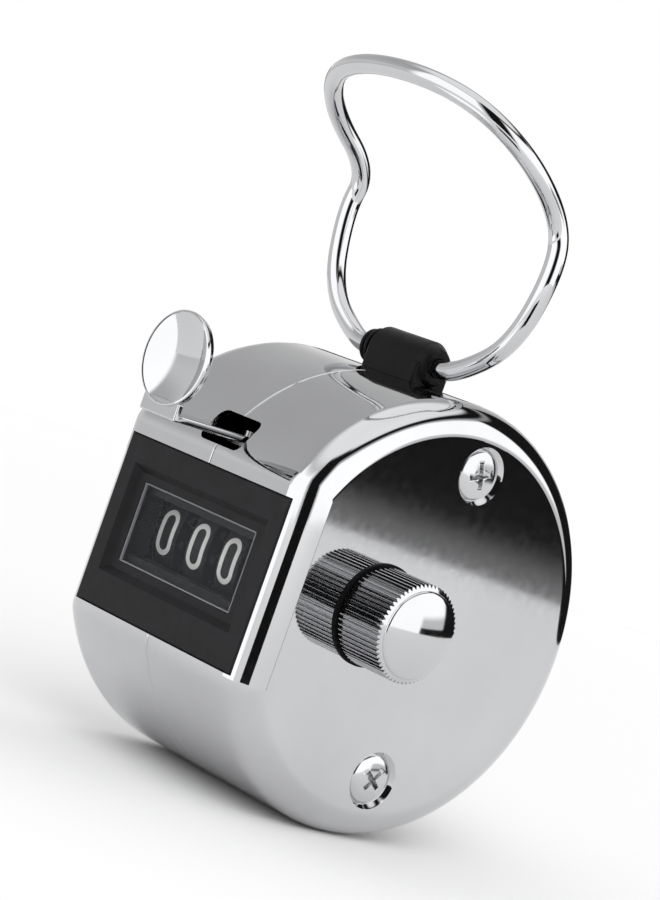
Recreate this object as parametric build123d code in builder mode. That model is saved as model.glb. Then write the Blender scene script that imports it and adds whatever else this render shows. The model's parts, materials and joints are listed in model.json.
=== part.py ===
"""Hand tally counter with a thumb lever, four number wheels, a reset knob and a finger ring.

Millimetres. The origin is the centre of the flat left side of the drum-shaped casing, on the
drum's axis. +X runs along the axis towards the reset knob, +Y to the back and +Z up, so the
number window faces -Y and the finger ring stands on top.
"""

import math
import os

from build123d import *

os.makedirs("parts", exist_ok=True)

# Casing: a drum with its axis along X and a flat cut across the front
case_radius = 22.5
case_thickness = 30.0
case_wall = 0.8
side_fillet = 3.2
corner_fillet = 2.0
front_y = -20.0
mid_x = case_thickness / 2

# Window panel in the front flat
panel_width = 25.8
panel_bottom = -9.3
panel_top = 8.5
panel_gap = 0.05
panel_depth = 1.6
panel_chamfer = 0.25
frame_slope = 0.7
frame_margin = (1.7, 1.5)
lens_width = 18.2
lens_height = 8.4
lens_y = front_y + frame_slope

# Number wheels, counted from the left: thousands, hundreds, tens, units
wheel_y = -6.5
wheel_z = 0.0
wheel_pitch = 5.1
wheel_radius = 9.2
rim_half = 1.65
side_disc = 0.8
shaft_radius = 1.5
running_gap = 0.06

# Transfer gears: each pinion joins two neighbouring wheels
wheel_teeth = 20
pinion_teeth = 8
wheel_gear_root = 7.25
wheel_gear_tip = 8.6
pinion_root = 2.4
pinion_tip = 3.75
gear_distance = 11.2
pinion_direction = -40.0
pinion_shaft_radius = 0.9
transfer_disc_radius = 6.4
transfer_tooth_tip = 7.3

# Ratchet on the units wheel, and the pawl that pushes it
ratchet_teeth = 10
ratchet_root = 5.4
ratchet_tip = 7.0
ratchet_rest_angle = 108.0
ratchet_x = 24.35
ratchet_thickness = 0.8
pawl_pin_y = -14.8
pawl_pin_z = 9.9
pawl_length = 7.3
pawl_angle = -32.1
pawl_hub_radius = 0.95
pawl_pin_radius = 0.55

# Thumb lever, rocking on a pin low inside the casing
pivot_y = -12.5
pivot_z = -12.0
pivot_radius = 1.0
yoke_sheet = 0.6
yoke_inner_half = 11.9
crossbar_y = -14.6
crossbar_depth = 4.0
arm_top_z = 9.3
arm_foot_radius = 2.1
arm_top_radius = 2.2
tongue_width = 5.6
tongue_z = 11.5
tongue_sheet = 0.7
pad_y = -27.4
pad_z = 17.2
pad_radius = 4.75
pad_sheet = 0.7
pad_hollow_radius = 10.0

# Frame plates and casing posts
plate_sheet = 0.8
left_plate_x = 3.6
right_plate_x = 25.6
post_y = 1.0
post_z = 16.0
post_radius = 1.8
post_bore = 1.06
boss_radius = 3.7
boss_depth = 1.2

# Cover screws, countersunk in the right side
seat_radius = 2.9
seat_depth = 1.4
screw_hole_radius = 1.15
screw_head_radius = 2.55
screw_head_depth = 1.15
screw_sink = 0.2
thread_radius = 1.0
thread_length = 7.0
recess_length = 2.9
recess_width = 0.55
recess_depth = 0.8

# Reset knob
knob_radius = 5.0
knob_length = 7.2
knob_gap = 0.25
knob_ribs = 60
bush_hole_radius = 3.0
bush_flange_radius = 5.25

# Finger ring and its holder
ring_axis_z = 24.6
ring_wire_radius = 1.0
ring_lean = 57.0
holder_radius = 2.5
holder_length = 10.4
holder_foot = (8.0, 4.2)
rivet_radius = 1.0

wheel_x = [mid_x + wheel_pitch * (place - 1.5) for place in range(4)]
gap_x = [(left + right) / 2 for left, right in zip(wheel_x, wheel_x[1:])]
pinion_y = wheel_y + gear_distance * math.cos(math.radians(pinion_direction))
pinion_z = wheel_z + gear_distance * math.sin(math.radians(pinion_direction))


def save(piece, name):
    """Label a finished piece and write it to its own file."""
    piece.part.label = name
    export_step(piece.part, f"parts/{name}.step")


def side_plane(x, y=0.0, z=0.0, turn=0.0):
    """A plane across the drum's axis at x, with its origin at y, z and turned in itself."""
    tilt = math.radians(turn)
    return Plane(origin=(x, y, z), x_dir=(0, math.cos(tilt), math.sin(tilt)), z_dir=(1, 0, 0))


def drum(inset):
    """The casing's outline as a solid, drawn in by inset on every side."""
    cut_width = 2 * case_radius
    with BuildPart() as solid:
        with BuildSketch(side_plane(inset)):
            Circle(case_radius - inset)
            with Locations((front_y + inset - cut_width / 2, 0)):
                Rectangle(cut_width, cut_width, mode=Mode.SUBTRACT)
        extrude(amount=case_thickness - 2 * inset)
        fillet(solid.edges().filter_by(Axis.X), corner_fillet)
        rims = solid.faces().filter_by(Axis.X)
        fillet(rims.edges(), side_fillet - inset)
    return solid.part


def tooth_ring(teeth, root, tip, base_width, top_width, first_angle):
    """Sketch straight-sided gear teeth on a root circle."""
    sink = 0.3
    height = tip - root + sink
    slope = math.degrees(math.atan2(height, (base_width - top_width) / 2))
    Circle(root)
    with PolarLocations((root + tip - sink) / 2, teeth, start_angle=first_angle):
        Trapezoid(base_width, height, slope, rotation=-90)


# ---------------------------------------------------------------- casing
outer_drum = drum(0)
inner_drum = drum(case_wall)
slot_width = tongue_width + 0.7
slot_bottom = 10.5
slot_top = 13.9

with BuildPart() as casing:
    add(outer_drum)
    add(inner_drum, mode=Mode.SUBTRACT)
    # bosses behind the two cover screws
    for height in (post_z, -post_z):
        with BuildSketch(side_plane(case_thickness - case_wall, post_y, height)):
            Circle(boss_radius)
        extrude(amount=-boss_depth)
    # countersinks and clearance holes for the cover screws
    for height in (post_z, -post_z):
        with BuildSketch(side_plane(case_thickness, post_y, height)):
            Circle(seat_radius)
        extrude(amount=-seat_depth, taper=45, mode=Mode.SUBTRACT)
        with BuildSketch(side_plane(case_thickness, post_y, height)):
            Circle(screw_hole_radius)
        extrude(amount=-(case_wall + boss_depth), mode=Mode.SUBTRACT)
    # window opening in the front flat
    with BuildSketch(Plane.XZ.offset(-front_y + 1)):
        with Locations((mid_x, (panel_top + panel_bottom) / 2)):
            Rectangle(panel_width, panel_top - panel_bottom)
    extrude(amount=-2.2, mode=Mode.SUBTRACT)
    # slot that the lever slides in
    with BuildSketch(Plane.XZ.offset(-front_y + 2)):
        with Locations((mid_x, (slot_top + slot_bottom) / 2)):
            RectangleRounded(slot_width, slot_top - slot_bottom, 0.8)
    extrude(amount=-6, mode=Mode.SUBTRACT)
    # hole for the knob's bush, and for the rivet of the ring holder
    with BuildSketch(side_plane(case_thickness - case_wall, wheel_y, wheel_z)):
        Circle(bush_hole_radius)
    extrude(amount=case_wall, mode=Mode.SUBTRACT)
    with BuildSketch(Plane.XY.offset(case_radius - 2)):
        with Locations((mid_x, 0)):
            Circle(rivet_radius + 0.12)
    extrude(amount=3, mode=Mode.SUBTRACT)
    # fine groove where the two shells meet
    with BuildSketch(side_plane(mid_x - 0.08)):
        Circle(case_radius + 1)
        Circle(case_radius - 0.14, mode=Mode.SUBTRACT)
    extrude(amount=0.16, mode=Mode.SUBTRACT)

with BuildPart() as left_shell:
    add(casing.part)
    split(bisect_by=Plane.YZ.offset(mid_x), keep=Keep.BOTTOM)
save(left_shell, "left_shell")

with BuildPart() as right_shell:
    add(casing.part)
    split(bisect_by=Plane.YZ.offset(mid_x), keep=Keep.TOP)
save(right_shell, "right_shell")

# ---------------------------------------------------------------- window
panel_mid_z = (panel_top + panel_bottom) / 2
frame_width = lens_width + 2 * frame_margin[0]
frame_height = lens_height + 2 * frame_margin[1]
lens_gap = 0.05
flange_margin = 1.2
flange_depth = 0.5
with BuildPart() as window_panel:
    with BuildSketch(Plane.XZ.offset(-front_y)):
        with Locations((mid_x, panel_mid_z)):
            Rectangle(panel_width - 2 * panel_gap, panel_top - panel_bottom - 2 * panel_gap)
    extrude(amount=-panel_depth)
    chamfer(window_panel.faces().sort_by(Axis.Y)[0].edges(), panel_chamfer)
    # sloping frame round the window
    with BuildSketch(Plane.XZ.offset(-front_y)):
        with Locations((mid_x, 0)):
            Rectangle(frame_width, frame_height)
    extrude(amount=-frame_slope, taper=45, mode=Mode.SUBTRACT)
    # opening that the lens fits
    with BuildSketch(Plane.XZ.offset(-front_y)):
        with Locations((mid_x, 0)):
            Rectangle(lens_width, lens_height)
    extrude(amount=-panel_depth, mode=Mode.SUBTRACT)
save(window_panel, "window_panel")

with BuildPart() as window_lens:
    with BuildSketch(Plane.XZ.offset(-lens_y)):
        with Locations((mid_x, 0)):
            Rectangle(lens_width - 2 * lens_gap, lens_height - 2 * lens_gap)
    extrude(amount=-(front_y + panel_depth - lens_y))
    chamfer(window_lens.faces().sort_by(Axis.Y)[0].edges(), 0.2)
    with BuildSketch(Plane.XZ.offset(-(front_y + panel_depth))):
        with Locations((mid_x, 0)):
            Rectangle(lens_width + 2 * flange_margin, lens_height + 2 * flange_margin)
    extrude(amount=-flange_depth)
save(window_lens, "window_lens")

# ---------------------------------------------------------------- posts, frame and screws
post_right_x = case_thickness - case_wall - boss_depth
with BuildPart() as casing_posts:
    for height in (post_z, -post_z):
        with BuildSketch(side_plane(case_wall, post_y, height)):
            Circle(post_radius)
        extrude(amount=post_right_x - case_wall)
        with BuildSketch(side_plane(post_right_x, post_y, height)):
            Circle(post_bore)
        extrude(amount=0.5 - thread_length, mode=Mode.SUBTRACT)
save(casing_posts, "casing_posts")

screw_head_x = case_thickness - screw_sink
with BuildPart() as cover_screws:
    for height in (post_z, -post_z):
        with BuildSketch(side_plane(screw_head_x, post_y, height)):
            Circle(screw_head_radius)
        extrude(amount=-screw_head_depth, taper=45)
        with BuildSketch(side_plane(screw_head_x, post_y, height)):
            Circle(thread_radius)
        extrude(amount=-thread_length)
        with BuildSketch(side_plane(screw_head_x, post_y, height)):
            for tilt in (45, -45):
                Rectangle(recess_length, recess_width, rotation=tilt)
        extrude(amount=-recess_depth, mode=Mode.SUBTRACT)
save(cover_screws, "cover_screws")


def frame_plate(x):
    """A sheet plate that carries the number shaft, the pinion shaft and the lever's pin."""
    with BuildPart() as plate:
        with BuildSketch(side_plane(x)):
            with BuildLine():
                for y, z, radius in (
                    (post_y, post_z, 2.8),
                    (post_y, -post_z, 2.8),
                    (wheel_y, wheel_z, 3.8),
                    (pivot_y, pivot_z, 2.3),
                    (pinion_y, pinion_z, 2.6),
                ):
                    CenterArc((y, z), radius, 0, 360)
            make_hull()
            with Locations((post_y, post_z), (post_y, -post_z)):
                Circle(post_radius + 0.02, mode=Mode.SUBTRACT)
            with Locations((wheel_y, wheel_z)):
                Circle(2.42, mode=Mode.SUBTRACT)
            with Locations((pivot_y, pivot_z)):
                Circle(pivot_radius + 0.02, mode=Mode.SUBTRACT)
            with Locations((pinion_y, pinion_z)):
                Circle(pinion_shaft_radius + 0.02, mode=Mode.SUBTRACT)
        extrude(amount=plate_sheet)
    return plate


left_frame_plate = frame_plate(left_plate_x)
save(left_frame_plate, "left_frame_plate")

# the right plate also carries the stud of the click spring
click_stud_y = wheel_y + 5.4
click_stud_z = 11.0
right_frame_plate = frame_plate(right_plate_x)
save(right_frame_plate, "right_frame_plate")

spacer_left = left_plate_x + plate_sheet
spacer_length = right_plate_x - spacer_left
with BuildPart() as post_spacers:
    for height in (post_z, -post_z):
        with BuildSketch(side_plane(spacer_left, post_y, height)):
            Circle(2.6)
            Circle(post_radius + 0.03, mode=Mode.SUBTRACT)
        extrude(amount=spacer_length)
save(post_spacers, "post_spacers")

with BuildPart() as shaft_bushes:
    for x in (left_plate_x, right_plate_x):
        with BuildSketch(side_plane(x - 0.15, wheel_y, wheel_z)):
            Circle(2.4)
            Circle(shaft_radius + running_gap, mode=Mode.SUBTRACT)
        extrude(amount=plate_sheet + 0.3)
save(shaft_bushes, "shaft_bushes")

# ---------------------------------------------------------------- number wheels
gear_phase = pinion_direction + 180 / wheel_teeth
wheel_names = ["thousands_wheel", "hundreds_wheel", "tens_wheel", "units_wheel"]
for name, x in zip(wheel_names, wheel_x):
    with BuildPart() as number_wheel:
        with BuildSketch(side_plane(x - rim_half, wheel_y, wheel_z)):
            Circle(wheel_radius)
        extrude(amount=2 * rim_half)
        chamfer(number_wheel.edges(), 0.15)
        # disc with the two carry teeth on the left
        with BuildSketch(side_plane(x - rim_half - side_disc, wheel_y, wheel_z)):
            Circle(transfer_disc_radius)
            if name != "thousands_wheel":
                with PolarLocations(transfer_disc_radius, 2, 120, 18, endpoint=True):
                    Rectangle(2 * (transfer_tooth_tip - transfer_disc_radius), 1.0)
        extrude(amount=side_disc)
        # gear on the right, or a plain boss for the ratchet
        with BuildSketch(side_plane(x + rim_half, wheel_y, wheel_z)):
            if name == "units_wheel":
                Circle(4.0)
            else:
                tooth_ring(wheel_teeth, wheel_gear_root, wheel_gear_tip, 1.25, 0.7, gear_phase)
        extrude(amount=side_disc if name != "units_wheel" else 0.05)
        with BuildSketch(side_plane(x - rim_half - side_disc, wheel_y, wheel_z)):
            Circle(shaft_radius + running_gap)
        extrude(amount=2 * (rim_half + side_disc), mode=Mode.SUBTRACT)
    save(number_wheel, name)

ratchet_step = 360 / ratchet_teeth
with BuildPart() as ratchet_wheel:
    with BuildSketch(side_plane(ratchet_x, wheel_y, wheel_z)):
        with BuildLine():
            outline = []
            for tooth in range(ratchet_teeth):
                face_angle = math.radians(ratchet_rest_angle + tooth * ratchet_step)
                for radius in (ratchet_tip, ratchet_root):
                    outline.append((radius * math.cos(face_angle), radius * math.sin(face_angle)))
            Polyline(*outline, close=True)
        make_face()
        Circle(shaft_radius + running_gap, mode=Mode.SUBTRACT)
    extrude(amount=ratchet_thickness)
save(ratchet_wheel, "ratchet_wheel")

# ---------------------------------------------------------------- pinions
pinion_width = 2 * side_disc + wheel_pitch - 2 * (rim_half + side_disc) - 0.2
pinion_phase = pinion_direction + 180
pinion_names = ["thousands_pinion", "hundreds_pinion", "tens_pinion"]
for name, x in zip(pinion_names, gap_x):
    with BuildPart() as pinion:
        with BuildSketch(side_plane(x - pinion_width / 2, pinion_y, pinion_z)):
            tooth_ring(pinion_teeth, pinion_root, pinion_tip, 1.3, 0.7, pinion_phase)
        extrude(amount=pinion_width)
        with BuildSketch(side_plane(x - wheel_pitch / 2 + 0.06, pinion_y, pinion_z)):
            Circle(1.7)
        extrude(amount=wheel_pitch - 0.12)
        with BuildSketch(side_plane(x - wheel_pitch / 2, pinion_y, pinion_z)):
            Circle(pinion_shaft_radius + running_gap)
        extrude(amount=wheel_pitch, mode=Mode.SUBTRACT)
    save(pinion, name)

with BuildPart() as pinion_shaft:
    with BuildSketch(side_plane(left_plate_x - 1.0, pinion_y, pinion_z)):
        Circle(pinion_shaft_radius)
    extrude(amount=right_plate_x - left_plate_x + 2.8)
save(pinion_shaft, "pinion_shaft")

# ---------------------------------------------------------------- number shaft and reset knob
shaft_left_x = 2.2
knob_x = case_thickness + knob_gap
rib_depth = 0.24
dome_height = 1.0
shaft_grip = 5.0
knurl_length = knob_length - dome_height
with BuildPart() as number_shaft:
    with BuildSketch(side_plane(shaft_left_x, wheel_y, wheel_z)):
        Circle(shaft_radius)
    extrude(amount=knob_x + shaft_grip - shaft_left_x)
save(number_shaft, "number_shaft")

with BuildPart() as knob_bush:
    with BuildSketch(side_plane(case_thickness - case_wall, wheel_y, wheel_z)):
        Circle(bush_hole_radius - 0.03)
    extrude(amount=case_wall)
    with BuildSketch(side_plane(case_thickness, wheel_y, wheel_z)):
        Circle(bush_flange_radius)
    extrude(amount=knob_gap - 0.05)
    with BuildSketch(side_plane(case_thickness - case_wall, wheel_y, wheel_z)):
        Circle(shaft_radius + running_gap)
    extrude(amount=2, mode=Mode.SUBTRACT)
save(knob_bush, "knob_bush")

with BuildPart() as reset_knob:
    with BuildSketch(side_plane(knob_x, wheel_y, wheel_z)):
        Circle(knob_radius)
    extrude(amount=knurl_length)
    chamfer(reset_knob.edges(), 0.35)
    with BuildSketch(side_plane(knob_x, wheel_y, wheel_z)):
        with PolarLocations(knob_radius + 0.02, knob_ribs):
            RegularPolygon(rib_depth, 4)
    extrude(amount=knurl_length, mode=Mode.SUBTRACT)
    with BuildSketch(side_plane(knob_x, wheel_y, wheel_z)):
        Circle(shaft_radius + 0.02)
    extrude(amount=shaft_grip + 0.05, mode=Mode.SUBTRACT)
save(reset_knob, "reset_knob")

cap_x = knob_x + knurl_length
cap_radius = knob_radius - 0.35
dome_radius = (cap_radius**2 + dome_height**2) / (2 * dome_height)
with BuildPart() as knob_cap:
    with BuildSketch(Plane.XY.offset(wheel_z)):
        with BuildLine():
            Line((cap_x, wheel_y), (cap_x + dome_height, wheel_y))
            RadiusArc((cap_x + dome_height, wheel_y), (cap_x, wheel_y + cap_radius), -dome_radius)
            Line((cap_x, wheel_y + cap_radius), (cap_x, wheel_y))
        make_face()
    revolve(axis=Axis((0, wheel_y, wheel_z), (1, 0, 0)))
save(knob_cap, "knob_cap")

# clips that hold the shafts endways, outside the frame plates
with BuildPart() as shaft_clips:
    for x, y, z, bore, radius in (
        (left_plate_x - 0.65, wheel_y, wheel_z, shaft_radius, 2.3),
        (left_plate_x - 0.55, pinion_y, pinion_z, pinion_shaft_radius, 1.8),
        (right_plate_x + plate_sheet + 0.05, pinion_y, pinion_z, pinion_shaft_radius, 1.8),
    ):
        with BuildSketch(side_plane(x, y, z)):
            Circle(radius)
            Circle(bore + 0.01, mode=Mode.SUBTRACT)
            with Locations((radius / 2 + 0.3, 0)):
                Rectangle(radius, bore, mode=Mode.SUBTRACT)
        extrude(amount=0.45)
save(shaft_clips, "shaft_clips")

# ---------------------------------------------------------------- thumb lever
arm_left_x = mid_x - yoke_inner_half - yoke_sheet
arm_right_x = mid_x + yoke_inner_half
crossbar_z = tongue_z - yoke_sheet
with BuildPart() as lever_yoke:
    for x in (arm_left_x, arm_right_x):
        with BuildSketch(side_plane(x)):
            with BuildLine():
                CenterArc((pivot_y, pivot_z), arm_foot_radius, 0, 360)
                CenterArc((crossbar_y, arm_top_z), arm_top_radius, 0, 360)
            make_hull()
            with Locations((pivot_y, pivot_z)):
                Circle(pivot_radius + running_gap, mode=Mode.SUBTRACT)
        extrude(amount=yoke_sheet)
    with BuildSketch(Plane.XY.offset(crossbar_z)):
        with Locations((mid_x, crossbar_y)):
            Rectangle(2 * (yoke_inner_half + yoke_sheet), crossbar_depth)
    extrude(amount=yoke_sheet)
save(lever_yoke, "lever_yoke")

tongue_back = -12.8
neck_y = pad_y - 1.0
with BuildPart() as thumb_lever:
    with BuildSketch(Plane.XY.offset(tongue_z)):
        with Locations((mid_x, (tongue_back + neck_y) / 2)):
            Rectangle(tongue_width, tongue_back - neck_y)
    extrude(amount=tongue_sheet)
    with BuildSketch(Plane.XZ.offset(-neck_y)):
        with Locations((mid_x, tongue_z + 0.9)):
            Rectangle(tongue_width, 1.8)
    extrude(amount=-tongue_sheet)
    # thumb pad: a shallow dish, hollow towards the front
    with BuildPart(mode=Mode.PRIVATE) as dish:
        with Locations((mid_x, pad_y - pad_hollow_radius, pad_z)):
            Sphere(pad_hollow_radius + pad_sheet)
            Sphere(pad_hollow_radius, mode=Mode.SUBTRACT)
        with BuildSketch(Plane.XZ.offset(-pad_y - 1)):
            with Locations((mid_x, pad_z)):
                Circle(pad_radius)
        extrude(amount=6, both=True, mode=Mode.INTERSECT)
    add(dish.part)
save(thumb_lever, "thumb_lever")

with BuildPart() as lever_rivets:
    with BuildSketch(Plane((mid_x, crossbar_y, tongue_z + tongue_sheet))):
        with GridLocations(3.2, 1, 2, 1):
            Circle(0.9)
    extrude(amount=0.35)
save(lever_rivets, "lever_rivets")

with BuildPart() as lever_pivot_pin:
    with BuildSketch(side_plane(arm_left_x - 0.5, pivot_y, pivot_z)):
        Circle(pivot_radius)
    extrude(amount=2 * (yoke_inner_half + yoke_sheet) + 1.0)
save(lever_pivot_pin, "lever_pivot_pin")

with BuildPart() as pawl_pin:
    with BuildSketch(side_plane(ratchet_x, pawl_pin_y, pawl_pin_z)):
        Circle(pawl_pin_radius)
    extrude(amount=arm_right_x - ratchet_x)
save(pawl_pin, "pawl_pin")

with BuildPart() as drive_pawl:
    with BuildSketch(side_plane(ratchet_x + 0.05, pawl_pin_y, pawl_pin_z, pawl_angle)):
        with BuildLine():
            Polyline((0, 0.9), (4.6, 0.8), (pawl_length, 0.2), (pawl_length, -0.2), (4.6, -0.25),
                     (0, -0.9), close=True)
        make_face()
        Circle(pawl_hub_radius)
        Circle(pawl_pin_radius + running_gap, mode=Mode.SUBTRACT)
    extrude(amount=ratchet_thickness - 0.1)
save(drive_pawl, "drive_pawl")

# ---------------------------------------------------------------- springs
def coil(x, y, z, radius, wire, turns):
    """A short torsion spring wound about an X axis."""
    pitch = wire * 1.25
    with BuildPart() as spring:
        with BuildLine() as path:
            Helix(pitch, pitch * turns, radius, center=(x, y, z), direction=(1, 0, 0))
        with BuildSketch(path.line ^ 0):
            Circle(wire / 2)
        sweep(is_frenet=True)
    return spring


lever_return_spring = coil(1.15, pivot_y, pivot_z, 1.55, 0.3, 3)
save(lever_return_spring, "lever_return_spring")

pawl_spring = coil(ratchet_x + 1.1, pawl_pin_y, pawl_pin_z, 0.78, 0.2, 4)
save(pawl_spring, "pawl_spring")

click_reach = 6.15
click_angle = math.radians(39)
click_tip_y = wheel_y + click_reach * math.cos(click_angle)
click_tip_z = wheel_z + click_reach * math.sin(click_angle)
with BuildPart() as click_spring:
    with BuildSketch(side_plane(ratchet_x + 0.05)):
        with BuildLine():
            Polyline((click_tip_y, click_tip_z), (click_stud_y, click_stud_z),
                     (click_stud_y + 0.25, click_stud_z), (click_tip_y + 0.25, click_tip_z), close=True)
        make_face()
    extrude(amount=ratchet_thickness - 0.1)
save(click_spring, "click_spring")

with BuildPart() as click_stud:
    with BuildSketch(side_plane(ratchet_x, click_stud_y, click_stud_z + 1.0)):
        Circle(1.0)
    extrude(amount=right_plate_x - ratchet_x)
save(click_stud, "click_stud")

# ---------------------------------------------------------------- ring holder and finger ring
with BuildPart() as ring_holder:
    with BuildSketch(side_plane(mid_x - holder_length / 2, 0, ring_axis_z)):
        Circle(holder_radius)
    extrude(amount=holder_length)
    chamfer(ring_holder.edges(), 0.5)
    with BuildSketch(Plane.XY.offset(case_radius - 2.5)):
        with Locations((mid_x, 0)):
            Rectangle(*holder_foot)
    extrude(amount=ring_axis_z - case_radius + 2.5)
    with BuildSketch(side_plane(0)):
        Circle(case_radius + 0.02)
    extrude(amount=case_thickness, mode=Mode.SUBTRACT)
    # grooves at both ends of the barrel
    for x in (mid_x - holder_length / 2 + 1.1, mid_x + holder_length / 2 - 1.6):
        with BuildSketch(side_plane(x, 0, ring_axis_z)):
            Circle(holder_radius + 0.5)
            Circle(holder_radius - 0.35, mode=Mode.SUBTRACT)
            with Locations((0, -holder_radius - 0.5)):
                Rectangle(2 * holder_radius + 1, 4, mode=Mode.SUBTRACT)
        extrude(amount=0.5, mode=Mode.SUBTRACT)
    # bore for the ends of the ring
    with BuildSketch(side_plane(0, 0, ring_axis_z)):
        Circle(ring_wire_radius + 0.05)
    extrude(amount=case_thickness, mode=Mode.SUBTRACT)
    with BuildSketch(Plane.XY.offset(case_radius - 1)):
        with Locations((mid_x, 0)):
            Circle(rivet_radius + 0.05)
    extrude(amount=1.9, mode=Mode.SUBTRACT)
save(ring_holder, "ring_holder")

with BuildPart() as holder_rivet:
    with BuildSketch(Plane.XY.offset(case_radius - case_wall - 0.85)):
        with Locations((mid_x, 0)):
            Circle(2 * rivet_radius)
    extrude(amount=0.7)
    with BuildSketch(Plane.XY.offset(case_radius - case_wall - 0.85)):
        with Locations((mid_x, 0)):
            Circle(rivet_radius)
    extrude(amount=2.3)
save(holder_rivet, "holder_rivet")

lean = math.radians(ring_lean)
kink_rise = 17.2
ring_half = [(1.0, 0.0), (7.6, 0.0), (13.9, 4.2), (16.0, 12.4), (14.8, kink_rise)]
ring_top_half = [(15.2, 8.0), (11.6, 14.2), (4.6, 17.0)]
half_points = [(reach, 0.0, rise) for reach, rise in ring_half]
for reach, along in ring_top_half:
    half_points.append((reach, -along * math.sin(lean), kink_rise + along * math.cos(lean)))
ring_points = [(mid_x - reach, y, ring_axis_z + rise) for reach, y, rise in half_points]
ring_points += [(mid_x + reach, y, ring_axis_z + rise) for reach, y, rise in reversed(half_points)]
ring_radii = []
for before, corner, after in zip(ring_points, ring_points[1:], ring_points[2:]):
    run_in = Vector(*corner) - Vector(*before)
    run_out = Vector(*after) - Vector(*corner)
    turn = math.radians(run_in.get_angle(run_out))
    ring_radii.append(0.45 * min(run_in.length, run_out.length) / math.tan(turn / 2))
ring_radii[0] = ring_radii[-1] = 5.5

with BuildPart() as finger_ring:
    with BuildLine():
        FilletPolyline(*ring_points, radius=ring_radii)
    with BuildSketch(Plane(origin=ring_points[0], z_dir=(-1, 0, 0))):
        Circle(ring_wire_radius)
    sweep()
save(finger_ring, "finger_ring")
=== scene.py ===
"""Looks of a chrome hand tally counter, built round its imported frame.

Lengths in the classes are millimetres in the frame's axes: +X towards the reset knob, +Y to the
back and +Z up. The helpers turn them into metres.
"""
import sys

import json
import logging
import math
from collections.abc import Iterable, Sequence
from dataclasses import dataclass
from enum import Enum

import bpy
from mathutils import Matrix, Quaternion, Vector

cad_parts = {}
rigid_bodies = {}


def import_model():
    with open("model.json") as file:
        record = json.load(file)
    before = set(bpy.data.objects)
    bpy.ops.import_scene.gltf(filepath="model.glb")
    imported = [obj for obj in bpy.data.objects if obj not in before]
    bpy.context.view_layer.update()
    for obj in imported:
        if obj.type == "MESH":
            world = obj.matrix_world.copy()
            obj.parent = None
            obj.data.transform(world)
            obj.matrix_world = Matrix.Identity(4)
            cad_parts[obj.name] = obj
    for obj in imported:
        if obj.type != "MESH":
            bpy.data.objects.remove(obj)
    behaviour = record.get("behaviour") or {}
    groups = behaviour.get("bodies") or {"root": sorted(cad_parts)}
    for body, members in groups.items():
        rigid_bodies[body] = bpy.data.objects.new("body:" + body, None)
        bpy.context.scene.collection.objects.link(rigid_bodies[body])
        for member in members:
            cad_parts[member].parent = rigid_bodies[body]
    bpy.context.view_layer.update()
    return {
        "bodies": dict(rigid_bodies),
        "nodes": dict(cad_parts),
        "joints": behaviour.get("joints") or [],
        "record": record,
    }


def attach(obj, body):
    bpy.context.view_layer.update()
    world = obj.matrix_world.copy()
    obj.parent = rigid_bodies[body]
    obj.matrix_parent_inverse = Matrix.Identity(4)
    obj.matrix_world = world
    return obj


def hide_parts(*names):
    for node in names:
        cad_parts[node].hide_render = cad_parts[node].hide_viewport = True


LOG = logging.getLogger("tally_counter")
MM = 0.001
THICKNESS = 30.0          # of the casing, from its left side to its right one
MIDDLE = THICKNESS / 2    # the seam, the window's middle and the lever's
DRUM = 22.5               # the drum's radius
FRONT = -20.0             # y of the flat front
NUMBER_AXIS = -6.5        # y of the number wheels' and the knob's axis
RING_AXIS = 24.6          # z of the ring's axis
SCREW_Y, SCREW_Z = 1.0, 16.0
Point = tuple[float, float, float]
Piece = bpy.types.Object
Node = bpy.types.Node
Socket = bpy.types.NodeSocket
Tree = bpy.types.NodeTree


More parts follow.
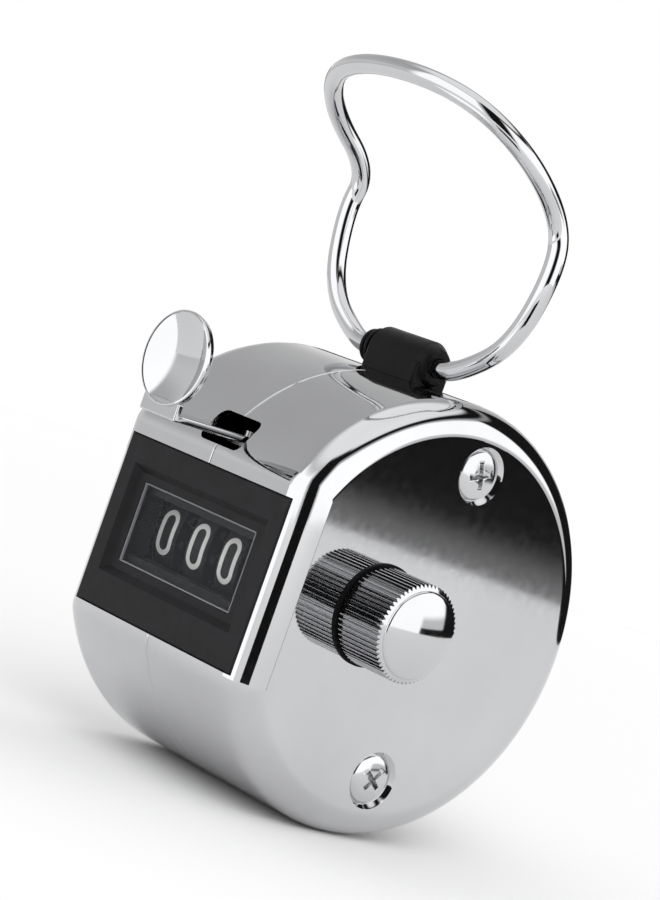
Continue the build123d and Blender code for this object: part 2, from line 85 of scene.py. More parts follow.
# --- bench tools
class Bench:
    """Modelling steps that the pieces share, each made with Blender's own operators."""

    @staticmethod
    def metres(point: Sequence[float]) -> Vector:
        """A point in millimetres as a vector in metres."""
        return Vector(point) * MM

    @staticmethod
    def clear() -> None:
        """Leave edit mode and deselect everything."""
        if bpy.context.object and bpy.context.object.mode != "OBJECT":
            bpy.ops.object.mode_set(mode="OBJECT")
        bpy.ops.object.select_all(action="DESELECT")

    @staticmethod
    def pick(piece: Piece) -> None:
        """Select one piece alone and make it active."""
        Bench.clear()
        piece.select_set(True)
        bpy.context.view_layer.objects.active = piece

    @staticmethod
    def named(name: str) -> Piece:
        """Name the active object, and apply its place, turn and scale to its mesh."""
        piece = bpy.context.object
        piece.name = name
        piece.data.name = name
        Bench.pick(piece)
        bpy.ops.object.transform_apply(location=True, rotation=True, scale=True)
        return piece

    @staticmethod
    def sheet(name: str, points: Sequence[Vector], edges: Sequence[tuple[int, ...]],
              faces: Sequence[tuple[int, ...]]) -> Piece:
        """Add a mesh from points in metres, with its edges or faces, and pick it."""
        mesh = bpy.data.meshes.new(name)
        mesh.from_pydata(points, edges, faces)
        piece = bpy.data.objects.new(name, mesh)
        bpy.context.collection.objects.link(piece)
        Bench.pick(piece)
        return piece

    @staticmethod
    def edit_all(piece: Piece) -> None:
        """Enter edit mode on one piece with everything selected."""
        Bench.pick(piece)
        bpy.ops.object.mode_set(mode="EDIT")
        bpy.ops.mesh.select_all(action="SELECT")

    @staticmethod
    def slice(piece: Piece, point: Point, normal: Point) -> None:
        """Cut off what lies beyond a plane on its normal's side, and close the cut.

        Args:
            piece: The object to cut.
            point: A point of the plane, in millimetres.
            normal: The plane's normal.
        """
        Bench.edit_all(piece)
        bpy.ops.mesh.bisect(plane_co=Bench.metres(point), plane_no=normal, use_fill=True, clear_outer=True,
                            threshold=0.0000001)
        bpy.ops.object.mode_set(mode="OBJECT")

    @staticmethod
    def rod(name: str, start: Point, end: Point, radius: float, sides: int = 64) -> Piece:
        """Add a round bar between two points.

        Args:
            name: The object's name.
            start: One end's centre, in millimetres.
            end: The other end's centre, in millimetres.
            radius: The bar's radius, in millimetres.
            sides: Sides of its round.

        Returns:
            The new object.
        """
        Bench.clear()
        run = Vector(end) - Vector(start)
        middle = (Vector(end) + Vector(start)) / 2
        turn = run.to_track_quat("Z", "Y").to_euler()
        bpy.ops.mesh.primitive_cylinder_add(
            vertices=sides, radius=radius * MM, depth=run.length * MM,
            location=Bench.metres(middle), rotation=turn)
        return Bench.named(name)

    @staticmethod
    def block(name: str, low: Point, high: Point) -> Piece:
        """Add a box between two corners, in millimetres."""
        Bench.clear()
        size = Vector(high) - Vector(low)
        middle = (Vector(high) + Vector(low)) / 2
        bpy.ops.mesh.primitive_cube_add(size=1, location=Bench.metres(middle), scale=Bench.metres(size))
        return Bench.named(name)

    @staticmethod
    def turned(name: str, profile: Sequence[tuple[float, float]], centre: Point, axis: Point,
               steps: int = 96) -> Piece:
        """Spin a profile into a closed turned piece.

        Args:
            name: The object's name.
            profile: Points as (along the axis, radius) in millimetres, starting and ending on the axis
                or closing on themselves.
            centre: The point on the axis that the profile is measured from.
            axis: The direction of the axis.
            steps: Facets round the axis.

        Returns:
            The new object.
        """
        Bench.clear()
        along = Vector(axis).normalized()
        out = along.orthogonal().normalized()
        points = [Bench.metres(Vector(centre) + along * run + out * radius) for run, radius in profile]
        piece = Bench.sheet(name, points, [(i, i + 1) for i in range(len(points) - 1)], [])
        Bench.edit_all(piece)
        bpy.ops.mesh.spin(steps=steps, angle=2 * math.pi, center=Bench.metres(centre), axis=along)
        bpy.ops.mesh.select_all(action="SELECT")
        bpy.ops.mesh.remove_doubles(threshold=0.000001)
        bpy.ops.mesh.dissolve_degenerate(threshold=0.000001)
        bpy.ops.mesh.normals_make_consistent(inside=False)
        bpy.ops.object.mode_set(mode="OBJECT")
        return piece

    @staticmethod
    def apply(piece: Piece, kind: str, **settings: object) -> Piece:
        """Add a modifier with these settings and apply it.

        Args:
            piece: The object that takes the modifier.
            kind: The modifier's type.
            settings: Its settings.

        Returns:
            The same object.
        """
        Bench.pick(piece)
        modifier = piece.modifiers.new(kind.title(), kind)
        for name, value in settings.items():
            setattr(modifier, name, value)
        bpy.ops.object.modifier_apply(modifier=modifier.name)
        return piece

    @staticmethod
    def cut(piece: Piece, *cutters: Piece) -> Piece:
        """Take cutters out of a piece, and delete them."""
        for cutter in cutters:
            Bench.apply(piece, "BOOLEAN", object=cutter, operation="DIFFERENCE", solver="EXACT")
            bpy.data.objects.remove(cutter)
        return piece

    @staticmethod
    def join(piece: Piece, *others: Piece) -> Piece:
        """Weld other solids to a piece, and delete them."""
        for other in others:
            Bench.apply(piece, "BOOLEAN", object=other, operation="UNION", solver="EXACT")
            bpy.data.objects.remove(other)
        return piece

    @staticmethod
    def gather(name: str, pieces: Iterable[Piece]) -> Piece:
        """Put separate solids in one object, without welding them."""
        members = list(pieces)
        Bench.clear()
        for piece in members:
            piece.select_set(True)
        bpy.context.view_layer.objects.active = members[0]
        if len(members) > 1:
            bpy.ops.object.join()
        return Bench.named(name)

    @staticmethod
    def round_edges(piece: Piece, width: float, segments: int = 3,
                    angle: float = 35) -> Piece:
        """Round every edge sharper than an angle.

        Args:
            piece: The object to round.
            width: The rounding's width, in millimetres.
            segments: Its segments.
            angle: The sharpest turn that stays as it is, in degrees.

        Returns:
            The same object.
        """
        return Bench.apply(piece, "BEVEL", width=width * MM, segments=segments, limit_method="ANGLE",
                           angle_limit=math.radians(angle), miter_outer="MITER_ARC")

    @staticmethod
    def polish(piece: Piece, angle: float) -> Piece:
        """Shade a piece smoothly, with flat faces kept flat."""
        Bench.pick(piece)
        bpy.ops.object.shade_smooth_by_angle(angle=math.radians(angle))
        return Bench.apply(piece, "WEIGHTED_NORMAL", keep_sharp=True, weight=80)

    @staticmethod
    def fit(piece: Piece, body: str, finish: "Finishes", *nodes: str, slot: str = "") -> None:
        """Dress a finished piece and put it on its body.

        Args:
            piece: The finished object.
            body: The body that it rides on.
            finish: The finish that it wears.
            nodes: The plain nodes that it stands for.
            slot: The record's material slot, where it isn't called as the finish is. Not used.
        """
        piece.data.materials.clear()
        piece.data.materials.append(finish.value.material())
        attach(piece, body)
        if nodes:
            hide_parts(*nodes)
        slot or finish.value.name
        LOG.info("%s: %d faces on %s", piece.name, len(piece.data.polygons), body)


# --- finishes
class Finish:
    """A surface finish, made once as a node material."""

    made: dict[str, bpy.types.Material] = {}
    name: str

    def material(self) -> bpy.types.Material:
        """The finish's material, built on first use."""
        if self.name not in Finish.made:
            material = bpy.data.materials.new(self.name)
            material.use_nodes = True
            Finish.made[self.name] = material
            self.build(material.node_tree)
        return Finish.made[self.name]

    def build(self, tree: Tree) -> None:
        """Build the node tree; each finish does its own."""
        raise NotImplementedError

    @staticmethod
    def set_sockets(node: Node, **sockets: object) -> Node:
        """Set a node's input sockets by name, with underscores for spaces."""
        for socket, value in sockets.items():
            node.inputs[socket.replace("_", " ")].default_value = value
        return node

    @staticmethod
    def node(tree: Tree, kind: str, **sockets: object) -> Node:
        """Add a node with its input sockets set."""
        return Finish.set_sockets(tree.nodes.new(kind), **sockets)

    @staticmethod
    def shader(tree: Tree, **sockets: object) -> Node:
        """The tree's shader, with its input sockets set."""
        return Finish.set_sockets(tree.nodes["Principled BSDF"], **sockets)

    @staticmethod
    def noise(tree: Tree, scale: float, detail: float, low: float, high: float,
              stretch: Point = (1, 1, 1)) -> Socket:
        """A noise on object coordinates, spread between two values.

        Args:
            tree: The node tree.
            scale: The noise's scale, per metre.
            detail: Its detail.
            low: The value at its darkest.
            high: The value at its brightest.
            stretch: How the coordinates are scaled along each axis.

        Returns:
            The output socket.
        """
        place = tree.nodes.new("ShaderNodeTexCoord")
        mapping = Finish.node(tree, "ShaderNodeMapping", Scale=stretch)
        grain = Finish.node(tree, "ShaderNodeTexNoise", Scale=scale, Detail=detail, Roughness=0.6)
        spread = Finish.node(tree, "ShaderNodeMapRange", From_Min=0.3, From_Max=0.7, To_Min=low, To_Max=high)
        tree.links.new(place.outputs["Object"], mapping.inputs["Vector"])
        tree.links.new(mapping.outputs["Vector"], grain.inputs["Vector"])
        tree.links.new(grain.outputs["Fac"], spread.inputs["Value"])
        return spread.outputs["Result"]

    @staticmethod
    def bump(tree: Tree, height: Socket, strength: float, depth: float) -> None:
        """Feed a height to the shader's normal, with the depth in millimetres."""
        node = Finish.node(tree, "ShaderNodeBump", Strength=strength, Distance=depth * MM)
        tree.links.new(height, node.inputs["Height"])
        tree.links.new(node.outputs["Normal"], Finish.shader(tree).inputs["Normal"])

    @staticmethod
    def tint(tree: Tree, factor: Socket, dark: Point, light: Point) -> None:
        """Blend the base colour between two colours by a factor."""
        mix = tree.nodes.new("ShaderNodeMix")
        mix.data_type = "RGBA"
        mix.inputs[6].default_value = (*dark, 1)
        mix.inputs[7].default_value = (*light, 1)
        tree.links.new(factor, mix.inputs[0])
        tree.links.new(mix.outputs[2], Finish.shader(tree).inputs["Base Color"])


@dataclass(frozen=True)
class Plated(Finish):
    """Bright metal: a mirror with faint haze, fine wipe marks and a slight ripple."""

    name: str
    dark: Point = (0.545, 0.548, 0.56)
    light: Point = (0.595, 0.598, 0.61)
    haze: float = 0.035
    wear: float = 0.03
    ripple: float = 0.0015
    ripple_scale: float = 90
    grain: Point = (1, 1, 1)

    def build(self, tree: Tree) -> None:
        """Build the mirror, its haze and its ripple."""
        shader = self.shader(tree, Metallic=1.0)
        self.tint(tree, self.noise(tree, 60, 4, 0, 1), self.dark, self.light)
        rough = self.noise(tree, 900, 6, self.haze, self.haze + self.wear, self.grain)
        tree.links.new(rough, shader.inputs["Roughness"])
        self.bump(tree, self.noise(tree, self.ripple_scale, 2, 0, 1, self.grain), 1.0, self.ripple)


@dataclass(frozen=True)
class Moulded(Finish):
    """Moulded plastic: a fine spark-eroded texture and small changes of tone."""

    name: str
    dark: Point
    light: Point
    rough_low: float = 0.38
    rough_high: float = 0.5
    texture: float = 0.006
    sheen: float = 0.5

    def build(self, tree: Tree) -> None:
        """Build the plastic's tone, gloss and texture."""
        shader = self.shader(tree, Specular_IOR_Level=self.sheen)
        self.tint(tree, self.noise(tree, 400, 5, 0, 1), self.dark, self.light)
        tree.links.new(self.noise(tree, 1200, 4, self.rough_low, self.rough_high), shader.inputs["Roughness"])
        self.bump(tree, self.noise(tree, 6000, 3, 0, 1), 0.5, self.texture)


@dataclass(frozen=True)
class Clear(Finish):
    """Clear moulded plastic, faintly grey."""

    name: str
    tone: Point
    cover: float
    rough: float = 0.06

    def build(self, tree: Tree) -> None:
        """Build a thin clear film with a gloss that varies a little."""
        shader = self.shader(tree, Base_Color=(*self.tone, 1), Alpha=self.cover, Specular_IOR_Level=0.35)
        tree.links.new(self.noise(tree, 300, 3, self.rough, self.rough + 0.05), shader.inputs["Roughness"])


@dataclass(frozen=True)
class Glow(Finish):
    """An even glow, for the strips that only the chrome sees."""

    name: str
    level: float

    def build(self, tree: Tree) -> None:
        """Build the glow on a surface that reflects nothing."""
        self.shader(tree, Base_Color=(0, 0, 0, 1), Specular_IOR_Level=0.0, Emission_Color=(1, 1, 1, 1),
                    Emission_Strength=self.level)


@dataclass(frozen=True)
class PaintedShadeFloor(Finish):
    """The studio floor: matt and pale, with painted shade: darker round the counter and paler away from the
    middle.
    """

    name: str
    # near is the painted shade round the counter, far the paler tone far off
    near: float
    far: float
    reach: float

    def build(self, tree: Tree) -> None:
        """Build a matt tone that rises with the distance from the origin: painted shade round the counter."""
        self.shader(tree, Roughness=0.9, Specular_IOR_Level=0.0)
        place = tree.nodes.new("ShaderNodeTexCoord")
        length = tree.nodes.new("ShaderNodeVectorMath")
        length.operation = "LENGTH"
        rise = self.node(tree, "ShaderNodeMapRange", From_Min=0.03, From_Max=self.reach, To_Min=0, To_Max=1)
        tree.links.new(place.outputs["Object"], length.inputs[0])
        tree.links.new(length.outputs["Value"], rise.inputs["Value"])
        self.tint(tree, rise.outputs["Result"], (self.near,) * 3, (self.far,) * 3)


class Finishes(Enum):
    """The finishes that this counter wears."""

    SHELL = Plated("chrome_shell")
    LEVER = Plated("chrome_lever", haze=0.05, ripple=0.002)
    KNOB = Plated("chrome_knob", haze=0.05, ripple_scale=300)
    WIRE = Plated("chrome_wire", haze=0.04, ripple=0.001, ripple_scale=400)
    SCREW = Plated("chrome_screw", haze=0.09, ripple_scale=500)
    ZINC = Plated("zinc_steel", dark=(0.42, 0.43, 0.44), light=(0.55, 0.56, 0.56), haze=0.22, wear=0.14)
    STEEL = Plated("ground_steel", dark=(0.45, 0.45, 0.45), light=(0.55, 0.55, 0.55), haze=0.2, wear=0.12,
                   grain=(40, 1, 1))
    SPRING = Plated("spring_steel", dark=(0.22, 0.22, 0.23), light=(0.32, 0.32, 0.33), haze=0.25, wear=0.1)
    BRASS = Plated("brass_bush", dark=(0.55, 0.36, 0.10), light=(0.70, 0.49, 0.18), haze=0.16, wear=0.12)
    PANEL = Moulded("black_panel", (0.008, 0.008, 0.009), (0.013, 0.013, 0.015), sheen=0.16)
    HOLDER = Moulded("black_holder", (0.002, 0.002, 0.0025), (0.005, 0.005, 0.006), 0.3, 0.42, 0.008, 0.12)
    BUSH = Moulded("black_bush", (0.002, 0.002, 0.002), (0.004, 0.004, 0.004), 0.5, 0.6, sheen=0.1)
    WHEEL = Moulded("black_wheel", (0.010, 0.010, 0.011), (0.014, 0.014, 0.016), 0.45, 0.55, 0.001, 0.25)
    NUMERAL = Moulded("white_numeral", (0.74, 0.74, 0.72), (0.86, 0.86, 0.84), 0.5, 0.62, 0.002)
    PINION = Moulded("white_pinion", (0.60, 0.59, 0.54), (0.70, 0.69, 0.64), 0.35, 0.5)
    LENS = Clear("clear_lens", (0.20, 0.21, 0.23), 0.05)
    BEAD = Clear("lens_edge", (0.30, 0.31, 0.33), 0.55, 0.2)


# --- casing
@dataclass
class Casing:
    """Two chrome shells that meet half way along the drum."""

    radius: float = DRUM
    thickness: float = THICKNESS
    front: float = FRONT
    wall: float = 0.8
    rim_round: float = 3.2
    corner_round: float = 3.4
    facets: int = 256
    window: tuple[float, float, float] = (25.8, -9.3, 8.5)
    slot: tuple[float, float, float] = (6.3, 10.5, 13.9)
    screw_y: float = SCREW_Y
    screw_z: float = SCREW_Z
    axis_y: float = NUMBER_AXIS
    middle: float = MIDDLE
    seam_round: float = 0.2
    corner_cuts: int = 9
    frame_depth: float = 1.1
    bush: float = 3.0
    boss: tuple[float, float] = (3.7, 1.5)

    def drum(self, name: str, inset: float) -> Piece:
        """The drum with its flat front and rounded rims, drawn in by an inset.

        Args:
            name: The object's name.
            inset: How far every face is drawn in, in millimetres.

        Returns:
            The closed solid.
        """
        radius = self.radius - inset
        front = self.front + inset
        piece = Bench.rod(name, (inset, 0, 0), (self.thickness - inset, 0, 0), radius, self.facets)
        Bench.slice(piece, (0, front, 0), (0, -1, 0))
        for side in (1, -1):
            self.round_corner(piece, radius, front, side)
        return Bench.apply(piece, "BEVEL", width=(self.rim_round - inset) * MM, segments=12,
                           limit_method="ANGLE", angle_limit=math.radians(60), use_clamp_overlap=False)

    def round_corner(self, piece: Piece, radius: float, front: float, side: int) -> None:
        """Round the long corner between the flat front and the drum by a fan of cuts.

        Args:
            piece: The drum.
            radius: The drum's radius, in millimetres.
            front: The flat front's y, in millimetres.
            side: 1 for the upper corner, -1 for the lower one.
        """
        centre_y = front + self.corner_round
        reach = radius - self.corner_round
        centre_z = math.sqrt(reach**2 - centre_y**2)
        end = math.atan2(centre_z, -centre_y)
        for step in range(1, self.corner_cuts):
            rise = end * step / self.corner_cuts
            y = centre_y - self.corner_round * math.cos(rise)
            z = centre_z + self.corner_round * math.sin(rise)
            Bench.slice(piece, (0, y, side * z), (0, -math.cos(rise), side * math.sin(rise)))

    def half(self, name: str, side: int) -> Piece:
        """The solid half of the drum on one side of the seam, with the seam's edge eased.

        Args:
            name: The object's name.
            side: -1 for the left half, 1 for the right one.

        Returns:
            The half, closed where the shells meet.
        """
        piece = self.drum(name, 0)
        Bench.slice(piece, (self.middle, 0, 0), (-side, 0, 0))
        Bench.edit_all(piece)
        bpy.ops.mesh.select_mode(type="EDGE")
        bpy.ops.mesh.select_all(action="DESELECT")
        bpy.ops.object.mode_set(mode="OBJECT")
        for edge in piece.data.edges:
            off_seam = (abs(piece.data.vertices[i].co.x - self.middle * MM) for i in edge.vertices)
            edge.select = sum(off_seam) < 1e-6
        bpy.ops.object.mode_set(mode="EDIT")
        bpy.ops.mesh.bevel(offset=self.seam_round * MM, segments=3, profile=0.5)
        bpy.ops.object.mode_set(mode="OBJECT")
        return piece

    def openings(self) -> list[Piece]:
        """The cutters for the number window and for the lever's slot."""
        width, low, high = self.window
        slot_width, slot_low, slot_high = self.slot
        reach = 4
        slot = Bench.block("slot_cut", (self.middle - slot_width / 2, self.front - reach, slot_low),
                           (self.middle + slot_width / 2, self.front + reach, slot_high))
        window = Bench.block("window_cut", (self.middle - width / 2, self.front - 2, low),
                             (self.middle + width / 2, self.front + self.frame_depth, high))
        return [window, Bench.round_edges(slot, 0.8, 4)]

    def seat(self, body: Piece, z: float) -> None:
        """Add a boss behind the right side and sink a screw's countersunk seat in it.

        Args:
            body: The right shell.
            z: The screw's height.
        """
        radius, depth = self.boss
        back = self.thickness - self.wall - 1.2
        start, end = (back, self.screw_y, z), (back + depth, self.screw_y, z)
        Bench.join(body, Bench.rod("boss", start, end, radius, 48))
        hole = 1.15
        sunk = [(-0.5, 0), (-0.5, 3.0), (0, 2.98), (0.1, 2.86), (1.5, 1.46), (1.5, hole), (2.6, hole),
                (2.6, 0)]
        Bench.cut(body, Bench.turned("seat", sunk, (self.thickness, self.screw_y, z), (-1, 0, 0), 64))

    def shell(self, name: str, side: int) -> Piece:
        """One shell: the half drum made hollow, with its share of the openings.

        Args:
            name: The object's name.
            side: -1 for the left shell, 1 for the right one.

        Returns:
            The shell, still to be polished.
        """
        openings = self.openings()
        body = self.half(name, side)
        Bench.cut(body, self.drum("inside", self.wall), *openings)
        if side > 0:
            Bench.cut(body, Bench.rod("bush_cut", (self.thickness - 2, self.axis_y, 0),
                                      (self.thickness + 1, self.axis_y, 0), self.bush))
            for z in (self.screw_z, -self.screw_z):
                self.seat(body, z)
        return body

    def build(self) -> None:
        """Make both shells and polish them."""
        for name, side in (("left_shell", -1), ("right_shell", 1)):
            body = self.shell(name + "_skin", side)
            Bench.polish(body, 30)
            Bench.fit(body, "casing", Finishes.SHELL, name)


@dataclass
class Window:
    """The black front panel, its sloping frame and the clear lens."""

    middle: float = MIDDLE
    front: float = FRONT
    depth: float = 1.6
    width: float = 25.7
    low: float = -9.25
    high: float = 8.45
    frame_outer: tuple[float, float] = (21.6, 11.4)
    frame_inner: tuple[float, float] = (20.2, 10.0)
    lens: tuple[float, float] = (18.2, 8.4)
    sight: tuple[float, float] = (18.0, 6.4)
    sink: float = 0.7
    well: float = 1.45
    shroud: tuple[float, float] = (1.5, 3.9)
    bead: float = 0.17

    def box(self, name: str, size: tuple[float, float], near: float, far: float) -> Piece:
        """A block centred on the window, between two depths."""
        half_width, half_height = size[0] / 2, size[1] / 2
        return Bench.block(name, (self.middle - half_width, near, -half_height),
                           (self.middle + half_width, far, half_height))

    def slope(self) -> Piece:
        """The cutter for the frame's slope, which goes on past the panel's face at the same angle."""
        past = 1.0
        grow = (past + self.sink) / self.sink
        cutter = self.box("slope", self.frame_inner, self.front - past, self.front + self.sink)
        near = [vertex for vertex in cutter.data.vertices if vertex.co.y < self.front * MM]
        for axis, centre, inner, outer in zip((0, 2), (self.middle, 0), self.frame_inner, self.frame_outer):
            half = (inner + (outer - inner) * grow) / 2
            for vertex in near:
                side = math.copysign(1, vertex.co[axis] - centre * MM)
                vertex.co[axis] = (centre + side * half) * MM
        return cutter

    def panel(self) -> None:
        """The moulded panel with its picture-frame slope round the window, and a shroud behind it."""
        half, front, back = self.width / 2, self.front, self.front + self.depth
        panel = Bench.block("window_panel_skin", (self.middle - half, front, self.low),
                            (self.middle + half, back, self.high))
        Bench.round_edges(panel, 0.28, 3)
        around = (self.sight[0] + 1, self.sight[1] + 1)
        shroud = self.box("shroud", around, front + self.shroud[0], front + self.shroud[1])
        well = self.box("well", self.lens, front - 1, front + self.well)
        sight = self.box("sight", self.sight, front - 1, back + 3)
        Bench.join(panel, shroud)
        Bench.cut(panel, self.slope(), Bench.round_edges(well, 0.3, 3), sight)
        Bench.round_edges(panel, 0.09, 2, 25)
        Bench.polish(panel, 40)
        Bench.fit(panel, "casing", Finishes.PANEL, "window_panel")

    def glazing(self) -> None:
        """The clear lens, and the raised bead round its edge that catches the light."""
        width, height = self.lens[0] - 0.1, self.lens[1] - 0.1
        face = self.front + self.sink + 0.25
        lens = self.box("window_lens_skin", (width, height), face, self.front + self.well - 0.03)
        Bench.round_edges(lens, 0.16, 3)
        Bench.polish(lens, 40)
        Bench.fit(lens, "casing", Finishes.LENS, "window_lens")
        bead = self.box("lens_bead", (width, height), face - 0.22, face + 0.12)
        inside = (width - 2 * self.bead, height - 2 * self.bead)
        Bench.cut(bead, self.box("bead_cut", inside, face - 1, face + 1))
        Bench.round_edges(bead, 0.07, 2)
        Bench.polish(bead, 40)
        Bench.fit(bead, "casing", Finishes.BEAD, slot="clear_lens")

    def build(self) -> None:
        """Build the panel and the glazing."""
        self.panel()
        self.glazing()


# --- numbers
Stroke = list[tuple[float, float]]


@dataclass
class Numerals:
    """White numerals round the rim of each number wheel."""

    radius: float = 9.2
    axis_y: float = NUMBER_AXIS
    half_width: float = 0.93
    half_height: float = 2.12
    pen: float = 0.27
    relief: float = 0.035
    pitch: float = 5.1
    middle: float = MIDDLE

    @staticmethod
    def oval(centre: tuple[float, float], radii: tuple[float, float], start: float, end: float) -> Stroke:
        """Points along an oval from one angle to another, in degrees."""
        count = max(6, int(abs(end - start) / 12))
        turns = [math.radians(start + (end - start) * step / count) for step in range(count + 1)]
        return [(centre[0] + radii[0] * math.cos(turn), centre[1] + radii[1] * math.sin(turn))
                for turn in turns]

    @staticmethod
    def straight(*corners: tuple[float, float]) -> Stroke:
        """Points along straight runs, close enough to follow the rim."""
        points: Stroke = [corners[0]]
        for (x0, y0), (x1, y1) in zip(corners, corners[1:]):
            count = max(1, round(math.hypot(x1 - x0, y1 - y0) / 0.3))
            points += [(x0 + (x1 - x0) * step / count, y0 + (y1 - y0) * step / count)
                       for step in range(1, count + 1)]
        return points

    def strokes(self, digit: int) -> list[Stroke]:
        """The pen strokes of one numeral, centred on the origin, in millimetres.

        Args:
            digit: The numeral, 0 to 9.

        Returns:
            A list of centre lines.
        """
        w, h = self.half_width, self.half_height
        waist = h - w
        oval, straight = self.oval, self.straight
        loop = oval((0, waist), (w, w), 0, 180) + straight((-w, waist), (-w, -waist))[1:]
        loop += oval((0, -waist), (w, w), 180, 360)[1:] + straight((w, -waist), (w, waist))[1:]
        small = 0.46 * h
        bowl = oval((0, small - h), (w, small), 0, 360)
        tail = oval((0, waist), (w, w), 30, 180) + straight((-w, waist), (-w, small - h))[1:]
        shapes: dict[int, list[Stroke]] = {
            0: [loop],
            1: [straight((-0.55, h - 0.75), (0.1, h), (0.1, -h))],
            2: [oval((0, waist), (w, w), 165, -25) + straight((0.84, waist - 0.4), (-w, -h), (w, -h))[1:]],
            3: [oval((0, h - small), (0.95 * w, small), 150, -90),
                oval((0, small - h), (w, small), 90, -150)],
            4: [straight((0.45, -h), (0.45, h), (-w, -0.75), (w + 0.12, -0.75))],
            5: [straight((w, h), (-0.8 * w, h), (-0.8 * w, 0.2)),
                oval((0, small - h), (w, small * 1.12), 130, -150)],
            6: [bowl, tail],
            7: [straight((-w, h), (w, h), (-0.35, -h))],
            8: [oval((0, h - small), (0.9 * w, small), 0, 360), bowl],
            9: [[(-x, -y) for x, y in bowl], [(-x, -y) for x, y in tail]],
        }
        return shapes[digit]

    def ribbon(self, stroke: Stroke, x: float, turn: float) -> tuple[list[Vector], list[tuple[int, ...]]]:
        """A flat ribbon along a stroke, wrapped on the rim.

        Args:
            stroke: The centre line.
            x: The wheel's middle along the drum's axis.
            turn: Where the numeral's middle stands round the wheel, in degrees from +Y.

        Returns:
            The ribbon's points, in metres, and its faces.
        """
        closed = math.dist(stroke[0], stroke[-1]) < 0.01
        line = stroke[:-1] if closed else stroke
        count = len(line)
        points: list[Vector] = []
        for index, (u, v) in enumerate(line):
            before = line[index - 1] if closed or index else line[index]
            after = line[(index + 1) % count] if closed or index < count - 1 else line[index]
            run = Vector((after[0] - before[0], after[1] - before[1])).normalized()
            for side in (1, -1):
                across, up = u - side * run.y * self.pen, v + side * run.x * self.pen
                angle = math.radians(turn) - up / self.radius
                reach = self.radius + 0.008
                points.append(Bench.metres((x + across, self.axis_y + reach * math.cos(angle),
                                            reach * math.sin(angle))))
        last = count if closed else count - 1
        faces = [(2 * i, 2 * ((i + 1) % count), 2 * ((i + 1) % count) + 1, 2 * i + 1) for i in range(last)]
        return points, faces

    def build(self) -> None:
        """Print ten numerals on each wheel."""
        for place, name in enumerate(("thousands", "hundreds", "tens", "units")):
            x = self.middle + self.pitch * (place - 1.5)
            points: list[Vector] = []
            faces: list[tuple[int, ...]] = []
            for digit in range(10):
                for stroke in self.strokes(digit):
                    more, sides = self.ribbon(stroke, x, 180 + 36 * digit)
                    faces += [tuple(i + len(points) for i in side) for side in sides]
                    points += more
            piece = Bench.sheet(f"{name}_numerals", points, [], faces)
            Bench.edit_all(piece)
            bpy.ops.mesh.normals_make_consistent(inside=False)
            bpy.ops.object.mode_set(mode="OBJECT")
            hub = Bench.metres((x, self.axis_y, 0))
            outward = sum(face.normal.dot(face.center - hub) for face in piece.data.polygons)
            Bench.apply(piece, "SOLIDIFY", thickness=self.relief * MM, offset=1 if outward > 0 else -1)
            Bench.fit(piece, name, Finishes.NUMERAL)


# --- reset knob and screws
@dataclass
class ResetKnob:
    """The knurled reset knob with its bevelled, domed end."""

    start: float = 30.25
    axis_y: float = NUMBER_AXIS
    radius: float = 5.0
    body: float = 6.2
    ribs: int = 60
    groove: float = 0.27
    bevel: float = 0.55
    dome: float = 1.0
    facets_per_rib: int = 6

    def knurl(self) -> Piece:
        """The ribbed barrel: every second pair of facets is drawn in to make a groove."""
        facets = self.ribs * self.facets_per_rib
        barrel = Bench.rod("reset_knob_skin", (self.start, self.axis_y, 0),
                           (self.start + self.body, self.axis_y, 0), self.radius, facets)
        middle = self.axis_y * MM
        pattern = (0, 0, 0.35, 1, 1, 0.35)
        for vertex in barrel.data.vertices:
            turn = math.atan2(vertex.co.z, vertex.co.y - middle)
            place = round(turn * facets / (2 * math.pi)) % self.facets_per_rib
            depth = pattern[place] * self.groove / self.radius
            vertex.co.y = middle + (vertex.co.y - middle) * (1 - depth)
            vertex.co.z *= 1 - depth
        return barrel

    def build(self) -> None:
        """Build the barrel, its bevels and the polished dome."""
        end = self.start + self.body
        collar = self.radius - 0.1
        barrel = self.knurl()
        limits = [(0, 0), (0, collar), (0.25, self.radius + 0.02), (self.body - 0.3, self.radius + 0.02),
                  (self.body, self.radius - self.bevel), (self.body, 0)]
        keep = Bench.turned("knurl_limits", limits, (self.start, self.axis_y, 0), (1, 0, 0), 120)
        Bench.apply(barrel, "BOOLEAN", object=keep, operation="INTERSECT", solver="EXACT")
        bpy.data.objects.remove(keep)
        Bench.polish(barrel, 24)
        Bench.fit(barrel, "reset", Finishes.KNOB, "reset_knob")
        rim = self.radius - self.bevel - 0.02
        profile = [(-0.2, 0), (-0.2, rim), (0, rim), (0.1, rim - 0.02), (0.2, rim - 0.1), (0.27, rim - 0.24)]
        edge_run, edge_radius = profile[-1]
        ball = ((self.dome - edge_run)**2 + edge_radius**2) / (2 * (self.dome - edge_run))
        reach = math.asin(edge_radius / ball)
        for step in range(1, 17):
            turn = reach * (1 - step / 16)
            profile.append((self.dome - ball * (1 - math.cos(turn)), ball * math.sin(turn)))
        cap = Bench.turned("knob_cap_skin", profile, (end, self.axis_y, 0), (1, 0, 0), 128)
        Bench.polish(cap, 50)
        Bench.fit(cap, "reset", Finishes.KNOB, "knob_cap")


